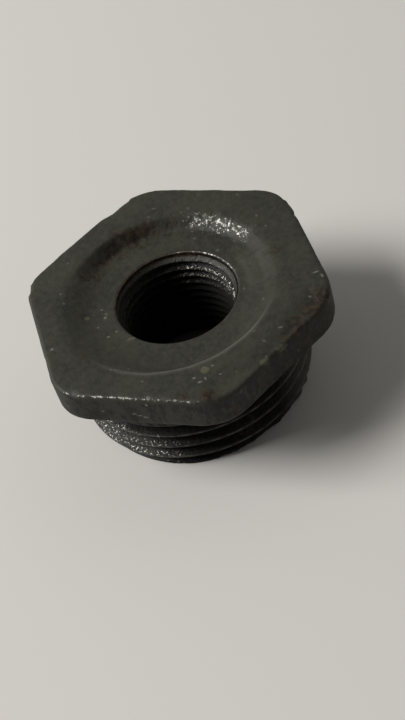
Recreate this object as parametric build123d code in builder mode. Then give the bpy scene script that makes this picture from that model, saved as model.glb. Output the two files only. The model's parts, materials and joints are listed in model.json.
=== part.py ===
from build123d import *
import os
from math import atan, cos, degrees, radians, tan

# Reducing hex bushing for threaded pipe, one malleable iron casting, in millimetres.
# It stands on the end face of its male thread at z = 0, with the spanner head on top
# and the bore of the female thread up the middle. Flats face +X and -X.

# Spanner head
shoulder_width = 2.3755       # ledge from the neck out to the middle of each flat
head_corner_radius = 6.7      # the casting's corners are well rounded
head_height = 5.0
head_top_round = 0.5          # rolled edge round the top face
head_under_chamfer = 0.5

# Shallow dish in the top face, round the bore
dish_radius = 14.4            # where its wall meets the top face
dish_depth = 1.6
dish_wall_angle = 45.0        # of the wall, from the axis
dish_brow_round = 0.5         # where the wall rolls into the top face

# Male end, R 1 pipe thread: right-handed, 11 threads per inch, taper 1 in 16
male_length = 12.0            # end face to underside of the head
gauge_radius = 16.6245        # over the crests at the gauge plane, and of the plain neck
gauge_drop = 1.6              # underside of the head down to the gauge plane
taper_per_mm = 1 / 32         # growth of the radius with height
male_end_chamfer = 0.3
male_pitch = 25.4 / 11
groove_depth = 1.479
groove_floor = 0.385          # width across the bottom of the groove
flank_angle = 27.5            # of each side of the groove, from square to the axis
lowest_crest_height = 0.38    # middle of the lowest crest, where it passes +X
neck_length = 2.4             # left plain between the thread's runout and the head
runout_turns = 0.5            # over which the groove rises out of the blank
groove_overcut = 0.12         # how far the cut starts outside the crests

# Bore, Rp 3/8 pipe thread, at its minor diameter
bore_radius = 7.475
mouth_flare = 1.0             # how much wider the lead-in is at the dish floor
mouth_depth = 1.4
bore_end_chamfer = 0.8        # at the end face

# Derived sizes
across_flats = 2 * (gauge_radius + shoulder_width)
total_height = male_length + head_height
dish_floor_height = total_height - dish_depth
gauge_height = male_length - gauge_drop
end_radius = gauge_radius - gauge_height * taper_per_mm
cut_depth = groove_depth + groove_overcut
cut_width = groove_floor + 2 * cut_depth * tan(radians(flank_angle))
runout_rise = runout_turns * male_pitch
groove_start = lowest_crest_height - 1.5 * male_pitch
full_turns = round((male_length - neck_length - runout_rise - groove_start) / male_pitch)
runout_start = groove_start + full_turns * male_pitch


def crest_radius(height):
    """Radius over the crests at a height above the end face."""
    return end_radius + height * taper_per_mm


def cut_groove(start, rise, widening):
    """Cut the groove along a helix from this height at +X, whose radius grows by widening."""
    cone_angle = atan(widening / rise)
    pitch_along_cone = male_pitch / cos(cone_angle)
    path = Helix(
        pitch_along_cone,
        rise,
        crest_radius(start),
        center=(0, 0, start),
        cone_angle=degrees(cone_angle),
        mode=Mode.PRIVATE,
    )
    with BuildSketch(Plane.XZ, mode=Mode.PRIVATE) as groove_section:
        with Locations((crest_radius(start) + groove_overcut, start)):
            Trapezoid(
                cut_width,
                cut_depth,
                90 - flank_angle,
                rotation=90,
                align=(Align.CENTER, Align.MIN),
            )
    sweep(groove_section.sketch, path=path, is_frenet=True, mode=Mode.SUBTRACT)


with BuildPart() as hex_bushing:
    # Blank of the male end: tapered up to the gauge plane, plain above it
    with BuildSketch(Plane.XZ):
        with BuildLine():
            Polyline(
                (0, 0),
                (end_radius - male_end_chamfer, 0),
                (crest_radius(male_end_chamfer), male_end_chamfer),
                (gauge_radius, gauge_height),
                (gauge_radius, male_length),
                (0, male_length),
                close=True,
            )
        make_face()
    revolve(axis=Axis.Z)

    # Male thread: the groove climbs the taper at full depth, then runs out into the neck
    cut_groove(groove_start, full_turns * male_pitch, full_turns * male_pitch * taper_per_mm)
    cut_groove(runout_start, runout_rise, cut_depth)

    # Spanner head
    with BuildSketch(Plane.XY.offset(male_length)) as head_outline:
        RegularPolygon(across_flats / 2, 6, major_radius=False, rotation=30)
        fillet(head_outline.vertices(), head_corner_radius)
    extrude(amount=head_height)
    top_rim = hex_bushing.faces().sort_by(Axis.Z)[-1].edges()
    fillet(top_rim, head_top_round)
    under_rim = hex_bushing.faces().filter_by(Plane.XY).sort_by(Axis.Z)[-2].outer_wire().edges()
    chamfer(under_rim, head_under_chamfer)

    # Dish, with a sloping wall
    with BuildSketch(Plane.XY.offset(total_height)):
        Circle(dish_radius)
    extrude(amount=-dish_depth, taper=dish_wall_angle, mode=Mode.SUBTRACT)
    dish_brow = hex_bushing.faces().sort_by(Axis.Z)[-1].inner_wires()[0].edges()
    fillet(dish_brow, dish_brow_round)

    # Bore, straight through, with a steep lead-in at the dish floor
    with Locations((0, 0, dish_floor_height)):
        Hole(bore_radius)
    mouth_edge, end_edge = (
        hex_bushing.edges()
        .filter_by(GeomType.CIRCLE)
        .filter_by(lambda edge: abs(edge.radius - bore_radius) < 0.001)
        .sort_by(Axis.Z, reverse=True)
    )
    dish_floor = hex_bushing.faces().filter_by(Plane.XY).sort_by(Axis.Z)[-2]
    chamfer(mouth_edge, mouth_flare, mouth_depth, reference=dish_floor)
    chamfer(end_edge, bore_end_chamfer)

hex_bushing.part.label = "hex_bushing"
os.makedirs("parts", exist_ok=True)
export_step(hex_bushing.part, "parts/hex_bushing.step")
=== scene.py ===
import json
from math import atan2, cos, degrees, hypot, pi, radians, sin, sqrt, tan

import bmesh
import bpy
from mathutils import Euler, Matrix, Vector, noise


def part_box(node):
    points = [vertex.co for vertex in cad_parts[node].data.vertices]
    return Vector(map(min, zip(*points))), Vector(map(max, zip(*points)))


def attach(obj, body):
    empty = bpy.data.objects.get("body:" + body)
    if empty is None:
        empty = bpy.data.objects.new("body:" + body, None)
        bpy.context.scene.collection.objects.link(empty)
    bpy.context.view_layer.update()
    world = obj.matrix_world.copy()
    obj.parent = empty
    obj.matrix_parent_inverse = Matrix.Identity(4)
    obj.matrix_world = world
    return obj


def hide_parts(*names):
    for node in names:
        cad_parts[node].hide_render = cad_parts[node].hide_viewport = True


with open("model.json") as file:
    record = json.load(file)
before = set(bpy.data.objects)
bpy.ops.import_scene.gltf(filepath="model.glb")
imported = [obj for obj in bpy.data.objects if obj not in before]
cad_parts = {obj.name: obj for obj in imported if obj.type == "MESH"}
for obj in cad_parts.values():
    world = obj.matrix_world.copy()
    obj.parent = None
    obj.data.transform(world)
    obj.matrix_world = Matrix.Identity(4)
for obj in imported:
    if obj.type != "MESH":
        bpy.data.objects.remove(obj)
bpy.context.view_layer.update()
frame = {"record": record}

# A hex bushing in black malleable iron: rough cast head, threads cut bright and left oily.
# Lengths are in millimetres until a finished mesh is scaled to metres.

MM = 0.001
MOUNTS = {mount["name"]: mount for mount in frame["record"]["mounts"]}
LOW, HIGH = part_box("hex_bushing")

# Head
HALF_FLATS = HIGH.x / MM
TOP = HIGH.z / MM
UNDER = 12.0                   # underside of the head
CORNER_ROUNDS = {30: 5.9, 90: 6.7, 150: 5.9, 210: 5.8, 270: 6.7, 330: 6.3}
RIM_ROUND = 0.55
UNDER_ROUND = 0.6
NECK_FILLET = 0.4

# Dish
DISH_RADIUS = 14.4
DISH_DEPTH = 1.6
BROW_ROUND = 0.9
FOOT_ROUND = 1.1
DISH_SHIFT = Vector((-0.85, 0.2))  # the core sat a little off the centre of the hexagon
EASED_WALLS = [(145, 232, 25, 0.95), (-38, 8, 20, 0.75)]  # (start, end, fade) in degrees, and share
EASED_FROM = 9.3               # radii between which the eased wall climbs
EASED_TO = DISH_RADIUS + 1.2

# Threads
NECK_RADIUS = MOUNTS["male_thread"]["dims"]["r_mm"]
GAUGE_HEIGHT = UNDER - MOUNTS["male_thread"]["dims"]["length_mm"]
TAPER = 1 / 32
MALE = {"pitch": 25.4 / 11, "depth": 1.479, "flat": 0.385, "crest_at": 0.38}
FEMALE = {"pitch": 25.4 / 19, "depth": 0.856, "flat": 0.223, "crest_at": 0.714}
FLANK_ANGLE = 27.5
FULL_TURNS = 5                 # of the male groove, before it runs out
RUNOUT_TURNS = 0.5
BORE_RADIUS = MOUNTS["female_thread"]["dims"]["r_mm"]
# Mouth of the bore, as (height over the dish's floor, radius)
MOUTH = [(-9.0, 7.0), (-1.95, 7.0), (-1.75, 7.9), (-1.3, 7.95), (-1.2, 7.75), (-0.55, 8.25), (0.0, 8.35)]
BORE_END_CHAMFER = 0.8
END_WEAR = 0.12                # lost at the thread's lowest edge all round
END_DAMAGE = 0.95              # and more where it is knocked
END_DAMAGE_ARC = (290, 350, 40)
THREAD_SHIFT = Vector((-0.38, -0.02))  # the threads were cut a little off centre too
BORE_SHIFT = Vector((-0.2, 0.0))

FLOOR_HEIGHT = TOP - DISH_DEPTH

# Marks on the casting, as (centre, reach) in millimetres
PALE_SPOTS = [
    ((17.8, -6.3, 17.0), (0.55, 0.16, 0.4)),      # ticks by the right corner
    ((18.3, -7.3, 17.0), (0.22, 0.4, 0.4)),
    ((-3.3, 19.2, 17.0), (0.3, 0.2, 0.5)),
    ((-9.9, 0.8, 15.4), (0.28, 0.25, 0.3)),       # specks left of the bore
    ((-10.0, 2.4, 15.4), (0.22, 0.16, 0.3)),
    ((-11.2, -0.7, 15.4), (0.2, 0.16, 0.3)),
    ((-9.1, -2.4, 15.4), (0.2, 0.16, 0.3)),
    ((-10.3, -2.9, 15.4), (0.3, 0.2, 0.3)),
    ((-17.7, -3.0, 17.0), (0.25, 0.25, 0.4)),
    ((-1.3, -17.4, 17.0), (0.4, 0.22, 0.4)),      # specks near the front edge
    ((-1.8, -16.4, 17.0), (0.25, 0.2, 0.4)),
    ((-0.5, -17.1, 17.0), (0.2, 0.3, 0.4)),
    ((1.4, -17.2, 17.0), (0.2, 0.15, 0.4)),
    ((0.9, -15.5, 17.0), (0.25, 0.15, 0.4)),
    ((-0.2, -15.3, 17.0), (0.2, 0.15, 0.4)),
    ((3.4, -17.6, 17.0), (0.25, 0.2, 0.4)),
    ((7.4, -12.4, 16.6), (0.45, 0.16, 0.5)),
    ((10.6, -13.3, 17.0), (0.4, 0.12, 0.4)),
    ((-8.0, -16.9, 17.0), (0.3, 0.4, 0.5)),       # chip in the front edge
    ((-8.5, -17.1, 16.0), (0.25, 0.3, 0.25)),     # marks on the front flank
    ((-10.3, -16.0, 14.1), (0.4, 0.4, 0.12)),
    ((-9.7, -16.3, 13.8), (0.4, 0.4, 0.14)),
    ((-9.1, -16.7, 13.5), (0.4, 0.4, 0.16)),
]
TAN_SPOTS = [
    ((-12.2, 1.5, 15.9), (0.42, 0.42, 0.9)),
    ((-7.4, -4.6, 15.4), (0.9, 0.3, 0.3)),
    ((-0.2, -15.8, 17.0), (0.7, 0.6, 0.4)),
    ((7.2, -17.6, 16.9), (0.9, 0.7, 0.9)),
    ((10.4, -16.4, 16.5), (1.6, 0.7, 0.7)),
]

# Soft patches of rust and brown grime, as (centre, radius, strength)
RUST = [
    ((16.9, -12.0, 15.0), 4.6, 0.8),              # right corner and flank
    ((12.6, -14.7, 15.2), 4.4, 0.66),
    ((8.1, -17.3, 14.0), 4.0, 0.6),
    ((1.9, -20.6, 12.8), 3.0, 0.7),
    ((-0.9, -19.9, 17.0), 1.6, 0.62),             # front edge
    ((-3.6, -18.8, 17.0), 1.3, 0.5),
    ((-5.6, 14.5, 17.0), 5.0, 0.3),               # tinges on the top face
    ((-13.8, -6.1, 17.0), 5.0, 0.32),
    ((14.3, 0.2, 17.0), 3.0, 0.36),
    ((12.5, -13.0, 17.0), 3.5, 0.34),
    ((2.6, -15.5, 3.5), 3.2, 0.5),                # thread, front right
]
# Rust up the wall of the dish, as (angle in degrees, strength)
DISH_RUST = [
    (150, 0.42), (138, 0.5), (126, 0.52), (114, 0.55), (102, 0.58), (90, 0.54), (78, 0.46), (68, 0.3),
]
DISH_RUST_RADIUS = 13.3
DISH_RUST_REACH = 3.0
DISH_RUST_HEIGHT = 16.2
DISH_RUST_SHIFT = -0.45

# Dips in the rim, as (start, end, fade) in degrees and depth in millimetres
RIM_DIPS = [(44, 49, 5, 0.13), (137, 142, 5, 0.14), (152, 154, 1.5, 0.3)]
NICK = Vector((-17.0, -11.9, 16.7))

# Colours
SKIN_DARK = (0.018, 0.018, 0.0122)
SKIN_PALE = (0.029, 0.029, 0.0196)
SKIN_GRAIN = (0.043, 0.042, 0.030)
# Darker tone for the flanks and the underside
SKIN_SIDE_DARK = (0.010, 0.009, 0.007)
# Pale rubbed metal, and painted highlights on the brow and the bore's edge
SKIN_RUBBED_AND_HIGHLIGHT = (0.17, 0.165, 0.145)
# Bright worn metal, and painted glints where the light falls
SKIN_WORN_AND_GLINT = (0.42, 0.41, 0.37)
DUST = (0.115, 0.115, 0.095)
TAN = (0.070, 0.068, 0.040)
RUST_DARK = (0.009, 0.0055, 0.003)
RUST_PALE = (0.034, 0.021, 0.010)
CUT_OILY = (0.0015, 0.0014, 0.001)
CUT_DIRT = (0.006, 0.0052, 0.004)
# Bright torn metal, and painted glints where the light falls
CUT_WORN_AND_GLINT = (0.46, 0.44, 0.38)
# Pale machined metal, and painted highlights on the lead-in and the thread's lit side
CUT_BARE_AND_HIGHLIGHT = (0.125, 0.117, 0.100)
PAPER = (0.62, 0.595, 0.56)

# Light
ROOM_COLOUR = (1.0, 0.99, 0.97)
ROOM_LEVEL = 0.43
SHADED_LEVEL = 0.02            # on one side, as if someone bent over the object
SHADE_CENTRE = (254, 60)       # azimuth and elevation
SHADE_REACH = (38, 60)         # degrees from there: all dark up to the first, not at all past the second

# Camera
LENS = 66.75
CAMERA_PLACE = Vector((-4.4474, -128.0863, 138.0589))
CAMERA_TURN = (41.7953, 12.5683, -15.9170)

# How the mesh is made
AROUND = 252                   # columns round the axis
SECTORS = 12                   # copies of the first sector that make a full turn
WELD = 0.002                   # vertices this close are one
SNAP = 0.02                    # vertices this close to a level cut are moved onto it
ON_LEVEL = 0.001
MALE_TURNS = 7                 # pitches in each wall before it is cut off level
FEMALE_TURNS = 15
SEAM_RADIUS = 11               # between the end face's two edges
NECK_CUT = UNDER - 0.5         # where the head meets the male end
MOUTH_CUT = FLOOR_HEIGHT - 0.1  # where the dish meets the bore's wall
CAST, CUT = 0, 1               # material slots
# Points down a thread's flank, as shares of its width and of its depth
FINE_STATIONS = [(-0.12, 0), (0.06, 0.05), (0.22, 0.22), (0.5, 0.5), (0.78, 0.78), (0.94, 0.95), (1.12, 1)]
PLAIN_STATIONS = [(0, 0), (0.5, 0.5), (1, 1)]


# Shape of the head

def unit(value):
    """A value held between 0 and 1."""
    return min(1.0, max(0.0, value))


def hexagon_radius(angle, apothem=HALF_FLATS):
    """Distance from the axis to the rounded hexagon, in the direction of an angle in radians."""
    turned = degrees(angle) % 360
    corner = round((turned - 30) / 60) * 60 + 30
    rounding = CORNER_ROUNDS[corner % 360] - (HALF_FLATS - apothem)
    from_flat = radians(30 - abs(turned - corner))
    half_straight = (apothem - rounding) * tan(radians(30))
    if apothem * tan(from_flat) <= half_straight:
        return apothem / cos(from_flat)
    along = (apothem - rounding) * cos(from_flat) + half_straight * sin(from_flat)
    square = (apothem - rounding) ** 2 + half_straight**2
    return along + sqrt(along**2 - square + rounding**2)


def line(start, end, steps):
    """Points after start, up to and with end."""
    start, end = Vector(start), Vector(end)
    return [start.lerp(end, step / steps) for step in range(1, steps + 1)]


def arc(centre, radius, start, end, steps):
    """Points after the start angle, up to and with the end angle, in degrees."""
    angles = [radians(start + (end - start) * step / steps) for step in range(1, steps + 1)]
    return [Vector(centre) + radius * Vector((cos(angle), sin(angle))) for angle in angles]


def head_section():
    """The head from the neck, under and round it, over the dish and down to the bore's mouth."""
    half_turn = tan(radians(45 / 2))
    rim = HALF_FLATS - RIM_ROUND
    under_rim = HALF_FLATS - UNDER_ROUND
    brow = (DISH_RADIUS + BROW_ROUND * half_turn, TOP - BROW_ROUND)
    foot = (DISH_RADIUS - DISH_DEPTH - FOOT_ROUND * half_turn, FLOOR_HEIGHT + FOOT_ROUND)
    mouth = mouth_radius(FLOOR_HEIGHT)
    points = [Vector((NECK_RADIUS, NECK_CUT))]
    points += arc((NECK_RADIUS + NECK_FILLET, UNDER - NECK_FILLET), NECK_FILLET, 180, 90, 3)
    points += line(points[-1], (under_rim, UNDER), 4)
    points += arc((under_rim, UNDER + UNDER_ROUND), UNDER_ROUND, -90, 0, 4)
    points += line(points[-1], (HALF_FLATS, TOP - RIM_ROUND), 12)
    points += arc((rim, TOP - RIM_ROUND), RIM_ROUND, 0, 90, 5)
    points += line(points[-1], (brow[0], TOP), 11)
    points += arc(brow, BROW_ROUND, 90, 135, 4)
    wall_end = Vector(foot) + FOOT_ROUND * Vector((cos(radians(-45)), sin(radians(-45))))
    points += line(points[-1], wall_end, 3)
    points += arc(foot, FOOT_ROUND, -45, -90, 4)
    points += line(points[-1], (mouth + 0.2, FLOOR_HEIGHT), 10)
    points += line(points[-1], (mouth + 0.06, FLOOR_HEIGHT - 0.02), 1)
    points += line(points[-1], (mouth_radius(MOUTH_CUT), MOUTH_CUT), 1)
    return points


def swing(bm, column, climb=0.0):
    """Swing a column of (radius, height) points once round the axis while it climbs, and weld it.

    One sector is spun and then copied round, which is much quicker than one long spin.
    """
    verts = [bm.verts.new((radius, 0, height)) for radius, height in column]
    edges = [bm.edges.new(pair) for pair in zip(verts, verts[1:])]
    steps = AROUND // SECTORS
    bmesh.ops.spin(
        bm, geom=verts + edges, axis=(0, 0, 1), cent=(0, 0, 0), angle=2 * pi / SECTORS,
        steps=steps, dvec=(0, 0, climb / AROUND), use_merge=False,
    )
    sector = bm.verts[:] + bm.edges[:] + bm.faces[:]
    for number in range(1, SECTORS):
        copy = bmesh.ops.duplicate(bm, geom=sector)["geom"]
        turned = [item for item in copy if isinstance(item, bmesh.types.BMVert)]
        turn = Matrix.Rotation(2 * pi * number / SECTORS, 3, "Z")
        bmesh.ops.rotate(bm, verts=turned, cent=(0, 0, 0), matrix=turn)
        bmesh.ops.translate(bm, verts=turned, vec=(0, 0, climb * number / SECTORS))
    bmesh.ops.remove_doubles(bm, verts=bm.verts, dist=WELD)


def lumps(place, size, seed):
    """Smooth noise from -1 to 1, with bumps about as large as size."""
    return noise.fractal(place / size + Vector((seed, 0, 0)), 0.9, 2.0, 3)


def soft_cover(place, patches):
    """How strongly a place is covered by soft round patches, from 0 to 1."""
    cover = 0.0
    for centre, radius, strength in patches:
        reach = (place - Vector(centre)).length / radius
        cover = max(cover, strength * max(0.0, 1.0 - reach * reach))
    return cover


def arc_share(angle, start, end, fade):
    """1 inside an arc of angles in degrees, falling to 0 over fade degrees outside it."""
    middle = (start + end) / 2
    away = abs((angle - middle + 180) % 360 - 180) - (end - start) / 2
    return 1.0 - unit(away / fade)


def swell(place, radius, angle):
    """Push a place out to the hexagon, and return the share of the full push that it got."""
    start = DISH_RADIUS + BROW_ROUND if place.z > UNDER + 1 else NECK_RADIUS + 0.5
    share = unit((radius - start) / (HALF_FLATS - RIM_ROUND - start))
    factor = 1 + share * (hexagon_radius(angle) / HALF_FLATS - 1)
    place.x *= factor
    place.y *= factor
    return share


def eased_height(radius):
    """Height of the dish where its wall is only a gentle slope."""
    across = unit((radius - EASED_FROM) / (EASED_TO - EASED_FROM))
    return FLOOR_HEIGHT + DISH_DEPTH * across * across * (3 - 2 * across)


def shape_head(bm):
    """Push the turned section out to the hexagon, shift the dish and ease two sides of its wall."""
    for vert in bm.verts:
        place = vert.co
        radius = hypot(place.x, place.y)
        angle = atan2(place.y, place.x)
        share = swell(place, radius, angle)
        if place.z > FLOOR_HEIGHT - 0.1 and radius < HALF_FLATS - RIM_ROUND:
            moved = unit((radius - BORE_RADIUS - 1.5) / 2) * (1 - share) ** 2
            place.x += DISH_SHIFT.x * moved
            place.y += DISH_SHIFT.y * moved
            ease = max(most * arc_share(degrees(angle), *arc) for *arc, most in EASED_WALLS)
            if radius > EASED_FROM:
                place.z += (eased_height(radius) - place.z) * ease


# Threads

def thread_section(thread, crest, side, stations):
    """One pitch of a thread from crest to crest. Side is 1 where its groove goes outwards."""
    pitch, depth, flat = thread["pitch"], thread["depth"], thread["flat"]
    slope = depth * tan(radians(FLANK_ANGLE))
    half = [(0.5 * flat + along * slope, down * depth) for along, down in stations]
    half = [(0, 0)] + half + [(pitch / 2, depth)]
    full = half + [(pitch - along, down) for along, down in reversed(half[:-1])]
    return [(crest + side * down, along) for along, down in full]


def thread_wall(thread, crest, side, stations, low, turns):
    """A thread as one wall: a column of its sections swung once round while it climbs one pitch.

    The last column ends where the first one stands a pitch higher, and is welded to it there.
    """
    bm = bmesh.new()
    section = thread_section(thread, crest, side, stations)
    column = [(crest, low)]
    for turn in range(turns):
        column += [(radius, low + turn * thread["pitch"] + up) for radius, up in section[1:]]
    swing(bm, column, thread["pitch"])
    return bm


def set_radius(vert, radius):
    """Move a vertex straight out or in, to a radius."""
    now = hypot(vert.co.x, vert.co.y)
    vert.co.x *= radius / now
    vert.co.y *= radius / now


def cut_level(bm, height, keep_above, radius=None):
    """Cut a wall off level, and leave one vertex a column on the cut, at a radius if one is given."""
    for vert in bm.verts:
        if abs(vert.co.z - height) < SNAP:
            vert.co.z = height
    bmesh.ops.bisect_plane(
        bm, geom=bm.verts[:] + bm.edges[:] + bm.faces[:], dist=ON_LEVEL, plane_co=(0, 0, height),
        plane_no=(0, 0, 1), clear_inner=keep_above, clear_outer=not keep_above,
    )
    spare = []
    for vert in bm.verts:
        columns = (atan2(vert.co.y, vert.co.x) % (2 * pi)) * AROUND / (2 * pi)
        if abs(vert.co.z - height) < ON_LEVEL and abs(columns - round(columns)) > 0.02:
            spare.append(vert)
    bmesh.ops.dissolve_verts(bm, verts=spare)
    for vert in bm.verts:
        if radius and abs(vert.co.z - height) < ON_LEVEL:
            set_radius(vert, radius)


def male_wall():
    """The male thread on its taper, running out into the plain neck."""
    pitch = MALE["pitch"]
    low = MALE["crest_at"] - 2 * pitch
    bm = thread_wall(MALE, NECK_RADIUS, -1, FINE_STATIONS, low, MALE_TURNS)
    for vert in bm.verts:
        height = vert.co.z
        turn = (atan2(vert.co.y, vert.co.x) % (2 * pi)) / (2 * pi)
        groove = round((height - low) / pitch - 0.5 - turn)
        past = (groove + turn - FULL_TURNS) / RUNOUT_TURNS
        lift = MALE["depth"] * unit(past)
        depth = max(0.0, NECK_RADIUS - hypot(vert.co.x, vert.co.y) - lift)
        crest = NECK_RADIUS - TAPER * max(0.0, GAUGE_HEIGHT - height)
        damage = END_DAMAGE * arc_share(360 * turn, *END_DAMAGE_ARC) * (1 + 0.4 * lumps(vert.co, 1.5, 2))
        end = NECK_RADIUS - TAPER * GAUGE_HEIGHT - END_WEAR - damage + max(0.0, height)
        set_radius(vert, min(crest - depth, end))
    cut_level(bm, 0.0, True)
    cut_level(bm, NECK_CUT, False, NECK_RADIUS)
    slide(bm, THREAD_SHIFT, NECK_CUT - 1.0, NECK_CUT)
    return bm


def mouth_radius(height):
    """Radius of the step, lead-in and relief groove at the top of the bore."""
    depth = height - FLOOR_HEIGHT
    for (low, low_radius), (high, high_radius) in zip(MOUTH, MOUTH[1:]):
        if low <= depth <= high:
            return low_radius + (high_radius - low_radius) * (depth - low) / (high - low)
    return MOUTH[-1][1] if depth > 0 else MOUTH[0][1]


def female_wall():
    """The female thread up the bore, with a chamfer at its end and the lead-in at its mouth."""
    low = FEMALE["crest_at"] - 2 * FEMALE["pitch"]
    bm = thread_wall(FEMALE, BORE_RADIUS, 1, PLAIN_STATIONS, low, FEMALE_TURNS)
    for vert in bm.verts:
        height = vert.co.z
        chamfer = BORE_RADIUS + BORE_END_CHAMFER - max(0.0, height)
        wall = hypot(vert.co.x, vert.co.y)
        set_radius(vert, max(wall, chamfer, mouth_radius(height)))
    cut_level(bm, 0.0, True)
    cut_level(bm, MOUTH_CUT, False, mouth_radius(MOUTH_CUT))
    slide(bm, BORE_SHIFT, MOUTH_CUT - 0.2, MOUTH_CUT)
    return bm


def ring_at(bm, height):
    """The open edges of a mesh at a height."""
    return [
        edge for edge in bm.edges
        if edge.is_boundary and all(abs(vert.co.z - height) < WELD for vert in edge.verts)
    ]


def slide(bm, shift, full_height, still_height):
    """Shift a wall sideways, fading to nothing at still_height."""
    for vert in bm.verts:
        share = unit((still_height - vert.co.z) / (still_height - full_height))
        vert.co.x += shift.x * share
        vert.co.y += shift.y * share


def column_of(place, centre):
    """Number of the mesh column that a place stands on, counted round a centre."""
    angle = atan2(place.y - centre.y, place.x - centre.x) % (2 * pi)
    return round(angle * AROUND / (2 * pi)) % AROUND


def close_end(bm):
    """Close the end face between the two walls, column by column."""
    ring = ring_at(bm, 0.0)
    outer = [edge for edge in ring if edge.verts[0].co.length > SEAM_RADIUS]
    inner = {
        column_of(vert.co, BORE_SHIFT): vert.co.copy()
        for edge in ring for vert in edge.verts if vert.co.length < SEAM_RADIUS
    }
    grown = bmesh.ops.extrude_edge_only(bm, edges=outer)["geom"]
    for item in grown:
        if isinstance(item, bmesh.types.BMVert):
            item.co = inner[column_of(item.co, THREAD_SHIFT)]
    bmesh.ops.remove_doubles(bm, verts=bm.verts, dist=WELD)
    for face in bm.faces:
        if face.calc_center_median().z < ON_LEVEL:
            face.material_index = CUT


def add_to(bm, part):
    """Copy one mesh into another."""
    mesh = bpy.data.meshes.new("part")
    part.to_mesh(mesh)
    part.free()
    bm.from_mesh(mesh)
    bpy.data.meshes.remove(mesh)


def steady_order(bm):
    """Order the faces by their vertices, because the steps before leave them in another order each run."""
    count = len(bm.verts)
    bm.verts.index_update()

    def number(face):
        first, second, *_, last = sorted(vert.index for vert in face.verts)
        return (first * count + second) * count + last

    bm.faces.sort(key=number)


def build_bushing():
    """The whole casting as one closed mesh, still in millimetres."""
    bm = bmesh.new()
    swing(bm, head_section())
    shape_head(bm)
    rough_casting(bm)
    for face in bm.faces:
        face.material_index = CUT if face.calc_center_median().z < UNDER - 0.02 else CAST
    for wall in (male_wall(), female_wall()):
        for face in wall.faces:
            face.material_index = CUT
        add_to(bm, wall)
    bmesh.ops.remove_doubles(bm, verts=bm.verts, dist=WELD)
    close_end(bm)
    bmesh.ops.recalc_face_normals(bm, faces=bm.faces)
    steady_order(bm)
    paint(bm)
    return bm


# Wear of the casting, with painted glints, highlights and shade

def bite_depth(angle, place):
    """How far the rim is bitten in at an angle in degrees."""
    wave = 0.09 * max(0.0, lumps(place, 3.0, 5))
    step = 0.5 * arc_share(angle, 95.5, 103, 5) * (angle > 93.7)
    dips = sum(depth * arc_share(angle, *arc) for *arc, depth in RIM_DIPS)
    jag = 0.3 * arc_share(angle, 17, 27, 3) * max(0.0, lumps(place, 0.9, 9) + 0.35)
    return wave + step + dips + jag


def sunk(place, radius, angle, edge):
    """How far a place on the head has sunk: waves, crumbled wall, rubbed edge and a nick."""
    depth = 0.0
    if place.z > FLOOR_HEIGHT - 0.05 and radius > MOUTH[-1][1] + 0.4:
        depth += 0.08 * max(0.0, lumps(place, 2.6, 7)) + 0.03 * max(0.0, lumps(place, 0.8, 8))
    wall = arc_share(angle, 24, 68, 8) * max(0.0, 1 - abs(radius - 13.6) / 1.6)
    depth += 0.28 * wall * max(0.0, 0.4 + lumps(place, 0.75, 11))
    depth += 0.35 * arc_share(angle, 272, 326, 6) * edge * edge * near_top(place)
    return depth + 0.5 * max(0.0, 1 - (place - NICK).length)


def near_top(place):
    """1 at the top face, and less down the flanks."""
    return min(1.0, max(0.25, 1 - (TOP - place.z) / 2.5))


def rough_casting(bm):
    """Uneven flanks and rim, a gently wavy top and a crumbled far wall of the dish."""
    for vert in bm.verts:
        place = vert.co.copy()
        if place.z < UNDER - 0.1:
            continue
        radius = hypot(place.x, place.y)
        angle = degrees(atan2(place.y, place.x)) % 360
        edge = unit((radius - HALF_FLATS + 3.0) / 2.2)
        inward = bite_depth(angle, place) * near_top(place) + 0.06 * max(0.0, lumps(place, 1.1, 3))
        inward = edge * (inward - 0.3 * arc_share(angle, 40, 80, 10))
        vert.co.x *= 1 - inward / radius
        vert.co.y = max(LOW.y / MM, min(HIGH.y / MM, vert.co.y * (1 - inward / radius)))
        vert.co.z -= sunk(place, radius, angle, edge)


def head_wear_and_glint(place, angle):
    """Share of bright metal wanted at a place on the head: worn metal on its front rim, and on the dish's far
    wall worn metal with painted glints where the light falls on it.
    """
    from_flat = hypot(place.x, place.y) - hexagon_radius(radians(angle))
    on_rim = max(0.0, 1 - abs(from_flat + 0.25) / 0.28) * max(0.0, 1 - abs(place.z - TOP + 0.2) / 0.4)
    front = 0.56 * arc_share(angle, 213, 262, 4) + 0.1
    from_dish = hypot(place.x - DISH_SHIFT.x, place.y - DISH_SHIFT.y)
    wall = max(0.0, 1 - abs(from_dish - 13.7) / 1.5) ** 0.5 * 0.43 * arc_share(angle, 26, 66, 8)
    return max(on_rim * front, wall)


def mouth_bare_and_highlight(place, angle):
    """Smooth pale metal on the lead-in and the edge of the bore, with a painted highlight that is strongest
    on the far side, where the light falls.
    """
    depth = place.z - FLOOR_HEIGHT
    if -1.23 < depth < -0.56:
        return 0.2 + 0.3 * arc_share(angle, 20, 110, 40)
    return 0.36 * arc_share(angle, 10, 72, 25) * (depth > -0.08)


def brow_highlight(place, angle):
    """A painted highlight along the brow on the near side of the dish."""
    from_dish = hypot(place.x - DISH_SHIFT.x, place.y - DISH_SHIFT.y)
    return 0.4 * max(0.0, 1 - abs(from_dish - DISH_RADIUS - 0.1) / 0.38) * arc_share(angle, 235, 300, 30)


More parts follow.
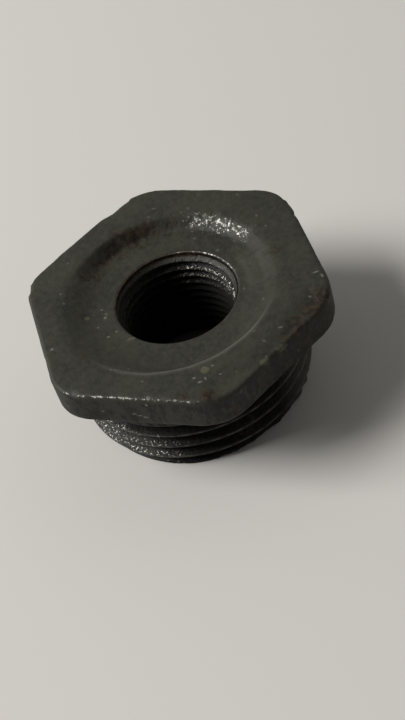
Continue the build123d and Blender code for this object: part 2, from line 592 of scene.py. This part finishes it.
def bore_wear_and_glint(place, angle):
    """Share of bright torn metal in the bore, also painted glints: most on its right side, where the light
    falls, and less further down.
    """
    depth = place.z - FLOOR_HEIGHT
    if depth > -0.12:
        return 0.42 * arc_share(angle, 10, 78, 12)
    if depth > -0.6:
        return 0.12
    if depth > -1.22:
        return 0.1 + 0.45 * arc_share(angle, 15, 66, 12)
    return (0.05 + 0.36 * arc_share(angle, -8, 74, 14)) * unit((place.z - 7.5) / 2.5)


def bore_marks(place, angle):
    """What the cut metal of the bore shows at a place, with painted glints and highlights on its lit side and
    painted shade deeper down.
    """
    from_axis = hypot(place.x - BORE_SHIFT.x, place.y - BORE_SHIFT.y)
    return {
        "wear_and_glint": bore_wear_and_glint(place, angle),
        "bare_and_highlight": mouth_bare_and_highlight(place, angle),
        # Painted shade deeper down the bore: its bright flecks and crests are dimmed and its metal made
        # rougher
        "shade_and_dark_sides": unit((13.0 - place.z) / 3.0),
        "hollow": unit((from_axis - BORE_RADIUS) / FEMALE["depth"]),
    }


def head_marks(place, angle):
    """What the skin of the head shows at a place: the flanks and the underside are made darker."""
    outside = hypot(place.x, place.y) > DISH_RADIUS + 1.5
    return {
        "wear_and_glint": head_wear_and_glint(place, angle) * (place.z > UNDER + 0.5),
        "bare_and_highlight": brow_highlight(place, angle),
        # The flanks and the underside are made darker than the top
        "shade_and_dark_sides": unit((TOP - 0.4 - place.z) / 0.5) * outside,
        "hollow": 1.0,
    }


def thread_marks(place, angle):
    """What the male thread shows at a place: bright torn flecks with painted glints and painted light on its
    lit left side, below a painted shadow of the head, and painted shade elsewhere.
    """
    # Painted shadow of the head's overhang: above shade_edge the flecks and painted light fade out and the
    # thread is shaded
    shade_edge = 8.3 - arc_share(angle, 228, 270, 20)
    open_share = unit((shade_edge - place.z) / 0.8)
    crest = NECK_RADIUS - TAPER * max(0.0, GAUGE_HEIGHT - place.z)
    from_axis = hypot(place.x - THREAD_SHIFT.x, place.y - THREAD_SHIFT.y)
    return {
        # Bright torn flecks, as painted glints mostly on the lit left side
        "wear_and_glint": (0.05 + 0.29 * arc_share(angle, 150, 244, 12)) * open_share,
        # Painted light on the lit left side below the head's painted shadow; the far right is made lighter
        "bare_and_highlight": max(0.5 * arc_share(angle, 322, 350, 22), 0.16 * arc_share(angle, 150, 232, 16) * open_share),
        # Painted shade on the side away from the light and under the head's painted shadow
        "shade_and_dark_sides": 0.5 * max(1.0 - arc_share(angle, 150, 240, 20), 1.0 - open_share),
        "hollow": unit((crest - from_axis) / MALE["depth"]),
    }


def dish_stains():
    """Soft patches of rust along the wall of the dish."""
    stains = []
    for angle, strength in DISH_RUST:
        along = DISH_RUST_RADIUS * cos(radians(angle)) + DISH_RUST_SHIFT
        centre = (along, DISH_RUST_RADIUS * sin(radians(angle)), DISH_RUST_HEIGHT)
        stains.append((centre, DISH_RUST_REACH, strength))
    return stains


def rust_cover(place, radius, angle, stains):
    """How strongly a place is rusted, with a ring of rust in the mouth of the bore."""
    cover = soft_cover(place, stains)
    if radius < 8.6 and place.z > 14:
        cover = max(cover, 0.35 * arc_share(angle, 90, 170, 40))
        if place.z > 14.85:
            cover = max(cover, 0.75 * arc_share(angle, 60, 170, 40))
    return cover


def paint(bm):
    """Write rust, worn metal with painted glints, rubbed metal with painted highlights, painted shade with
    darker flanks, and depth of thread to the vertices.
    """
    layers = {name: bm.verts.layers.float.new(name) for name in ("rust", "wear_and_glint", "hollow", "bare_and_highlight", "shade_and_dark_sides")}
    stains = RUST + dish_stains()
    for vert in bm.verts:
        place = vert.co
        radius = hypot(place.x, place.y)
        angle = degrees(atan2(place.y, place.x)) % 360
        marks = {"rust": rust_cover(place, radius, angle, stains)}
        if radius < 8.5 and place.z < FLOOR_HEIGHT + 0.02:
            marks |= bore_marks(place, angle)
        elif place.z > NECK_CUT:
            marks |= head_marks(place, angle)
        elif radius > 9.0:
            marks |= thread_marks(place, angle)
        for name, value in marks.items():
            vert[layers[name]] = value


# Node helpers

def per_mm(size):
    """Scale that gives a texture features of about this size in millimetres."""
    return 1 / (size * MM)


def add_node(tree, kind, sources=None, **settings):
    """A node with its sources linked or set by socket name or number, and its settings made."""
    node = tree.nodes.new("ShaderNode" + kind)
    for name, value in settings.items():
        setattr(node, name, value)
    for name, source in (sources or {}).items():
        socket = node.inputs[name]
        if isinstance(source, bpy.types.NodeSocket):
            tree.links.new(source, socket)
        else:
            socket.default_value = source
    return node


def calculate(tree, operation, first, second):
    """Result of one sum on two values."""
    return add_node(tree, "Math", {0: first, 1: second}, operation=operation).outputs[0]


def remap(tree, value, low, high, to_low=0.0, to_high=1.0):
    """Smoothly map low..high to to_low..to_high."""
    sources = {"Value": value, "From Min": low, "From Max": high, "To Min": to_low, "To Max": to_high}
    return add_node(tree, "MapRange", sources, interpolation_type="SMOOTHSTEP").outputs["Result"]


def blend(tree, factor, first, second):
    """Mix two colours."""
    node = add_node(tree, "Mix", {"Factor": factor}, data_type="RGBA")
    for name, value in (("A", first), ("B", second)):
        socket = [item for item in node.inputs if item.name == name and item.type == "RGBA"][0]
        if isinstance(value, bpy.types.NodeSocket):
            tree.links.new(value, socket)
        else:
            socket.default_value = (*value, 1)
    return [item for item in node.outputs if item.type == "RGBA"][0]


def attribute(tree, name):
    """One of the values that paint() wrote to the mesh."""
    return add_node(tree, "Attribute", attribute_name=name).outputs["Fac"]


def object_place(tree):
    """Object coordinates, in metres."""
    return add_node(tree, "TexCoord").outputs["Object"]


def stretched(tree, place, scale):
    """Coordinates scaled by axis, so that a pattern runs along the axis with the small number."""
    return add_node(tree, "Mapping", {"Vector": place, "Scale": scale}).outputs["Vector"]


def new_group(name, inputs, outputs):
    """A shader node group with these named inputs and outputs: (tree, inputs, outputs)."""
    tree = bpy.data.node_groups.new(name, "ShaderNodeTree")
    for side, sockets in (("INPUT", inputs), ("OUTPUT", outputs)):
        for socket_name, kind, *default in sockets:
            socket = tree.interface.new_socket(socket_name, in_out=side, socket_type="NodeSocket" + kind)
            if default:
                socket.default_value = default[0]
    entry = tree.nodes.new("NodeGroupInput")
    leave = tree.nodes.new("NodeGroupOutput")
    return tree, entry.outputs, leave.inputs


def use_group(tree, group, **sources):
    """Place a group and return its outputs. An underscore in a name stands for a space."""
    node = tree.nodes.new("ShaderNodeGroup")
    node.node_tree = group
    for name, source in sources.items():
        socket = node.inputs[name.replace("_", " ")]
        if isinstance(source, bpy.types.NodeSocket):
            tree.links.new(source, socket)
        else:
            socket.default_value = source
    return node.outputs


# Effects shared by the materials

def patches_group():
    """Clouds of a pattern, as a mask that grows with Amount."""
    tree, given, result = new_group(
        "patches",
        [("Vector", "Vector"), ("Scale", "Float", 200.0), ("Amount", "Float", 0.5),
         ("Softness", "Float", 0.1)],
        [("Mask", "Float")],
    )
    cloud = add_node(
        tree, "TexNoise",
        {"Vector": given["Vector"], "Scale": given["Scale"], "Detail": 5.0, "Roughness": 0.65},
    ).outputs["Fac"]
    middle = calculate(tree, "SUBTRACT", 0.78, calculate(tree, "MULTIPLY", given["Amount"], 0.56))
    low = calculate(tree, "SUBTRACT", middle, given["Softness"])
    high = calculate(tree, "ADD", middle, given["Softness"])
    tree.links.new(remap(tree, cloud, low, high), result["Mask"])
    return tree


def flecks_group():
    """Small ragged flecks, each a lone cell picked by chance: more of them as Amount grows."""
    tree, given, result = new_group(
        "flecks",
        [("Vector", "Vector"), ("Scale", "Float", 1500.0), ("Amount", "Float", 0.2)],
        [("Mask", "Float")],
    )
    warp = add_node(tree, "TexNoise", {"Vector": given["Vector"], "Scale": given["Scale"], "Detail": 2.0})
    push = add_node(
        tree, "VectorMath", {0: warp.outputs["Color"], 1: (0.0005, 0.0005, 0.0005)}, operation="MULTIPLY",
    ).outputs["Vector"]
    place = add_node(tree, "VectorMath", {0: given["Vector"], 1: push}, operation="ADD").outputs["Vector"]
    cells = add_node(tree, "TexVoronoi", {"Vector": place, "Scale": given["Scale"], "Randomness": 1.0})
    chance = add_node(tree, "SeparateColor", {"Color": cells.outputs["Color"]}).outputs["Red"]
    picked = calculate(tree, "LESS_THAN", chance, given["Amount"])
    core = remap(tree, cells.outputs["Distance"], 0.25, 0.55, 1.0, 0.0)
    tree.links.new(calculate(tree, "MULTIPLY", picked, core), result["Mask"])
    return tree


def relief_group():
    """Height of a rough surface, about 0 to 1: lumps and grain, with pits sunk in it."""
    tree, given, result = new_group(
        "relief",
        [("Vector", "Vector"), ("Lump Scale", "Float", 800.0), ("Grain Scale", "Float", 4000.0),
         ("Pits", "Float", 0.3)],
        [("Height", "Float")],
    )
    lump = add_node(
        tree, "TexNoise",
        {"Vector": given["Vector"], "Scale": given["Lump Scale"], "Detail": 4.0, "Roughness": 0.6},
    ).outputs["Fac"]
    grain = add_node(
        tree, "TexNoise",
        {"Vector": given["Vector"], "Scale": given["Grain Scale"], "Detail": 3.0, "Roughness": 0.7},
    ).outputs["Fac"]
    cells = add_node(tree, "TexVoronoi", {"Vector": given["Vector"], "Scale": given["Lump Scale"]})
    pit = remap(tree, cells.outputs["Distance"], 0.0, 0.35, -1.0, 0.0)
    height = calculate(tree, "ADD", lump, calculate(tree, "MULTIPLY", grain, 0.35))
    height = calculate(tree, "ADD", height, calculate(tree, "MULTIPLY", pit, given["Pits"]))
    tree.links.new(height, result["Height"])
    return tree


def stain_group():
    """Rust and brown dirt over a colour: red-brown where it is thick, mottled at its edge."""
    tree, given, result = new_group(
        "stain",
        [("Vector", "Vector"), ("Color", "Color"), ("Cover", "Float", 0.0)],
        [("Color", "Color")],
    )
    cloud = add_node(
        tree, "TexNoise", {"Vector": given["Vector"], "Scale": per_mm(1.6), "Detail": 6.0, "Roughness": 0.7},
    ).outputs["Fac"]
    reach = calculate(tree, "SUBTRACT", 0.95, given["Cover"])
    mask = remap(tree, cloud, calculate(tree, "SUBTRACT", reach, 0.3), calculate(tree, "ADD", reach, 0.2))
    mask = calculate(tree, "MULTIPLY", mask, calculate(tree, "LESS_THAN", 0.005, given["Cover"]))
    hue = add_node(
        tree, "TexNoise", {"Vector": given["Vector"], "Scale": per_mm(0.7), "Detail": 3.0},
    ).outputs["Fac"]
    brown = blend(tree, remap(tree, hue, 0.4, 0.62), RUST_DARK, RUST_PALE)
    tree.links.new(blend(tree, mask, given["Color"], brown), result["Color"])
    return tree


def spot_group():
    """A lone ragged spot: 1 inside an ellipsoid of this reach round Centre, fading at its edge."""
    tree, given, result = new_group(
        "spot",
        [("Vector", "Vector"), ("Centre", "Vector"), ("Reach", "Vector", (0.0005, 0.0005, 0.0005))],
        [("Mask", "Float")],
    )
    away = add_node(tree, "VectorMath", {0: given["Vector"], 1: given["Centre"]}, operation="SUBTRACT")
    share = add_node(tree, "VectorMath", {0: away.outputs["Vector"], 1: given["Reach"]}, operation="DIVIDE")
    distance = add_node(tree, "VectorMath", {0: share.outputs["Vector"]}, operation="LENGTH").outputs["Value"]
    ragged = add_node(
        tree, "TexNoise", {"Vector": given["Vector"], "Scale": per_mm(0.35), "Detail": 2.0},
    ).outputs["Fac"]
    edge = calculate(tree, "ADD", distance, calculate(tree, "MULTIPLY", ragged, 0.9))
    tree.links.new(remap(tree, edge, 1.05, 1.5, 1.0, 0.0), result["Mask"])
    return tree


GROUPS = {
    "patches": patches_group(),
    "flecks": flecks_group(),
    "relief": relief_group(),
    "stain": stain_group(),
    "spot": spot_group(),
}


# Materials

def new_material(name):
    """A new material, its node tree and its shader."""
    material = bpy.data.materials.new(name)
    material.use_nodes = True
    tree = material.node_tree
    return material, tree, tree.nodes["Principled BSDF"]


def feed(tree, shader, **sources):
    """Link or set the shader's sockets. An underscore in a name stands for a space."""
    for name, source in sources.items():
        socket = shader.inputs[name.replace("_", " ")]
        if isinstance(source, bpy.types.NodeSocket):
            tree.links.new(source, socket)
        else:
            socket.default_value = source


def bump(tree, height, distance):
    """Normal from a height of 0 to 1 that stands for this many millimetres."""
    return add_node(tree, "Bump", {"Height": height, "Distance": distance * MM}).outputs["Normal"]


def patches(tree, place, size, amount, softness):
    """Mask of clouds of about this size in millimetres, over this share of the surface."""
    return use_group(
        tree, GROUPS["patches"], Vector=place, Scale=per_mm(size), Amount=amount, Softness=softness,
    )["Mask"]


def relief(tree, place, lump, grain, pits):
    """Height of a rough surface with lumps and grain of these sizes in millimetres."""
    return use_group(
        tree, GROUPS["relief"], Vector=place, Lump_Scale=per_mm(lump), Grain_Scale=per_mm(grain), Pits=pits,
    )["Height"]


def stained(tree, place, colour):
    """A colour with the mesh's rust over it."""
    return use_group(
        tree, GROUPS["stain"], Vector=place, Color=colour, Cover=attribute(tree, "rust"),
    )["Color"]


def where_worn_and_glinting(tree, mask, wear_and_glint):
    """A mask kept only where something is worn, painted glints included."""
    return calculate(tree, "MULTIPLY", mask, calculate(tree, "LESS_THAN", 0.02, wear_and_glint))


def spots(tree, place, marks):
    """All of a list of spots as one mask."""
    mask = 0.0
    for centre, reach in marks:
        spot = use_group(
            tree, GROUPS["spot"], Vector=place, Centre=Vector(centre) * MM, Reach=Vector(reach) * MM,
        )["Mask"]
        mask = calculate(tree, "MAXIMUM", mask, spot)
    return mask


def skin_colour(tree, place, fine):
    """Mottled charcoal with rust, darker flanks and underside, and pale rubbed places with painted
    highlights.
    """
    colour = blend(tree, patches(tree, place, 6, 0.5, 0.14), SKIN_DARK, SKIN_PALE)
    colour = blend(tree, calculate(tree, "MULTIPLY", fine, 0.6), colour, SKIN_GRAIN)
    colour = stained(tree, place, colour)
    rubs = patches(tree, stretched(tree, place, (1.0, 1.0, 0.3)), 1.1, 0.5, 0.07)
    # How much darker the flanks and underside are made, varying in vertical streaks
    shade = remap(tree, rubs, 0.0, 1.0, 0.3, 1.15)
    undarkened = calculate(tree, "SUBTRACT", 1.0, calculate(tree, "MULTIPLY", attribute(tree, "shade_and_dark_sides"), shade))
    colour = blend(tree, undarkened, SKIN_SIDE_DARK, colour)
    return blend(tree, attribute(tree, "bare_and_highlight"), colour, SKIN_RUBBED_AND_HIGHLIGHT)


def specks_over(tree, place, colour):
    """A colour with fine dust, the pale marks and the tan spots over it."""
    dust = use_group(tree, GROUPS["flecks"], Vector=place, Scale=per_mm(0.55), Amount=0.012)["Mask"]
    pale = calculate(tree, "MAXIMUM", calculate(tree, "MULTIPLY", dust, 0.5), spots(tree, place, PALE_SPOTS))
    return blend(tree, spots(tree, place, TAN_SPOTS), blend(tree, pale, colour, DUST), TAN)


def cast_skin():
    """Charcoal skin of the casting: mottled and grainy, brown in places, bright where it is worn and where
    glints are painted, with painted highlights and darker flanks.
    """
    material, tree, shader = new_material("cast_skin")
    place = object_place(tree)
    fine = patches(tree, place, 0.9, 0.5, 0.2)
    colour = specks_over(tree, place, skin_colour(tree, place, fine))
    amount = calculate(tree, "MULTIPLY", attribute(tree, "wear_and_glint"), 0.95)
    bright = where_worn_and_glinting(tree, patches(tree, place, 0.45, amount, 0.08), amount)
    roughness = remap(tree, fine, 0.0, 1.0, 0.5, 0.66)
    roughness = calculate(tree, "SUBTRACT", roughness, calculate(tree, "MULTIPLY", bright, 0.12))
    feed(
        tree, shader,
        Base_Color=blend(tree, bright, colour, SKIN_WORN_AND_GLINT),
        Roughness=roughness,
        Metallic=calculate(tree, "MULTIPLY", bright, 0.8),
        Normal=bump(tree, relief(tree, place, 0.9, 0.22, 0.15), 0.09),
        Specular_IOR_Level=0.28,
    )
    return material


def bright_metal_and_glint(tree, along):
    """Mask of bright metal on a thread: torn flecks where it is worn, which on the lit sides are painted
    glints too, and pale crest lines, both dimmed in painted shade.
    """
    hollow = attribute(tree, "hollow")
    wear_and_glint = attribute(tree, "wear_and_glint")
    amount = calculate(tree, "MULTIPLY", wear_and_glint, remap(tree, hollow, 0.2, 0.75, 1.0, 0.06))
    torn = where_worn_and_glinting(tree, patches(tree, along, 0.3, amount, 0.05), wear_and_glint)
    crest = remap(tree, hollow, 0.0, 0.06, 0.18, 0.0)
    crest = calculate(tree, "MULTIPLY", crest, patches(tree, along, 1.2, 0.52, 0.15))
    # Painted shade dims the bright flecks and crests
    out_of_shade = calculate(tree, "SUBTRACT", 1.0, calculate(tree, "MULTIPLY", attribute(tree, "shade_and_dark_sides"), 0.95))
    return calculate(tree, "MULTIPLY", calculate(tree, "MAXIMUM", torn, crest), out_of_shade)


def cut_thread():
    """Cut iron, dark with oil and dirt, with bright flecks where it has been handled and pale crest lines;
    the flecks are painted glints on the lit sides, painted highlights lie on the lead-in and the lit side,
    and painted shade dims the flecks and roughens the metal.
    """
    material, tree, shader = new_material("cut_thread")
    place = object_place(tree)
    along = stretched(tree, place, (1.0, 1.0, 0.55))
    dirt = patches(tree, place, 1.1, 0.5, 0.15)
    bright = bright_metal_and_glint(tree, along)
    colour = stained(tree, place, blend(tree, dirt, CUT_OILY, CUT_DIRT))
    colour = blend(tree, bright, colour, CUT_WORN_AND_GLINT)
    roughness = remap(tree, dirt, 0.0, 1.0, 0.36, 0.52)
    # Painted shade also makes the metal rougher
    shade_roughening = calculate(tree, "MULTIPLY", attribute(tree, "shade_and_dark_sides"), 0.35)
    feed(
        tree, shader,
        Base_Color=blend(tree, attribute(tree, "bare_and_highlight"), colour, CUT_BARE_AND_HIGHLIGHT),
        Roughness=calculate(tree, "ADD", roughness, shade_roughening),
        Metallic=calculate(tree, "MULTIPLY", bright, 0.9),
        Normal=bump(tree, relief(tree, along, 0.55, 0.16, 0.5), 0.16),
        Specular_IOR_Level=0.2,
    )
    return material


def paper():
    """Plain matt paper for the object to stand on."""
    material, tree, shader = new_material("paper")
    feed(tree, shader, Base_Color=(*PAPER, 1), Roughness=0.95, Specular_IOR_Level=0.2)
    return material


# The finished piece

def object_from(bm, name, materials):
    """Turn a finished mesh, built in millimetres, into an object in metres."""
    bmesh.ops.scale(bm, verts=bm.verts, vec=(MM, MM, MM))
    mesh = bpy.data.meshes.new(name)
    bm.to_mesh(mesh)
    bm.free()
    for material in materials:
        mesh.materials.append(material)
    mesh.shade_smooth()
    piece = bpy.data.objects.new(name, mesh)
    bpy.context.collection.objects.link(piece)
    return piece


bushing = object_from(build_bushing(), "bushing", [cast_skin(), cut_thread()])
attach(bushing, "root")
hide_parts("hex_bushing")


# Floor, light and camera

def make_floor():
    """A plain floor just under the end face."""
    bpy.ops.mesh.primitive_plane_add(size=6, location=(0, 0, -0.05 * MM))
    floor_object = bpy.context.object
    floor_object.name = "floor"
    floor_object.data.materials.append(paper())
    return floor_object


def direction(azimuth, elevation):
    """Unit vector towards a place in the room, as seen from the object."""
    flat = cos(radians(elevation))
    return Vector((flat * cos(radians(azimuth)), flat * sin(radians(azimuth)), sin(radians(elevation))))


def make_light(name, azimuth, elevation, distance, size, power):
    """An area light aimed at the object, with its place given as seen from the object."""
    data = bpy.data.lights.new(name, "AREA")
    data.energy = power
    data.size = size
    light = bpy.data.objects.new(name, data)
    towards = direction(azimuth, elevation)
    light.location = towards * distance
    light.rotation_euler = towards.to_track_quat("Z", "Y").to_euler()
    bpy.context.collection.objects.link(light)


def make_world():
    """Even pale room, dark round one direction."""
    world = bpy.data.worlds.new("studio")
    world.use_nodes = True
    tree = world.node_tree
    place = add_node(tree, "TexCoord").outputs["Generated"]
    facing = add_node(tree, "VectorMath", {0: place, 1: direction(*SHADE_CENTRE)}, operation="DOT_PRODUCT")
    inner, outer = (cos(radians(reach)) for reach in SHADE_REACH)
    level = remap(tree, facing.outputs["Value"], outer, inner, ROOM_LEVEL, SHADED_LEVEL)
    background = tree.nodes["Background"]
    background.inputs["Color"].default_value = (*ROOM_COLOUR, 1)
    tree.links.new(level, background.inputs["Strength"])
    bpy.context.scene.world = world


def make_camera():
    """A camera that looks down on the head from the front."""
    data = bpy.data.cameras.new("camera")
    data.lens = LENS
    data.clip_start = 0.01
    camera = bpy.data.objects.new("camera", data)
    camera.location = CAMERA_PLACE * MM
    camera.rotation_euler = Euler([radians(angle) for angle in CAMERA_TURN])
    bpy.context.collection.objects.link(camera)
    bpy.context.scene.camera = camera


floor_plane = make_floor()
make_light("key", azimuth=168, elevation=42, distance=1.0, size=0.5, power=11.7)
make_world()
make_camera()
bpy.context.scene.view_settings.view_transform = "Standard"
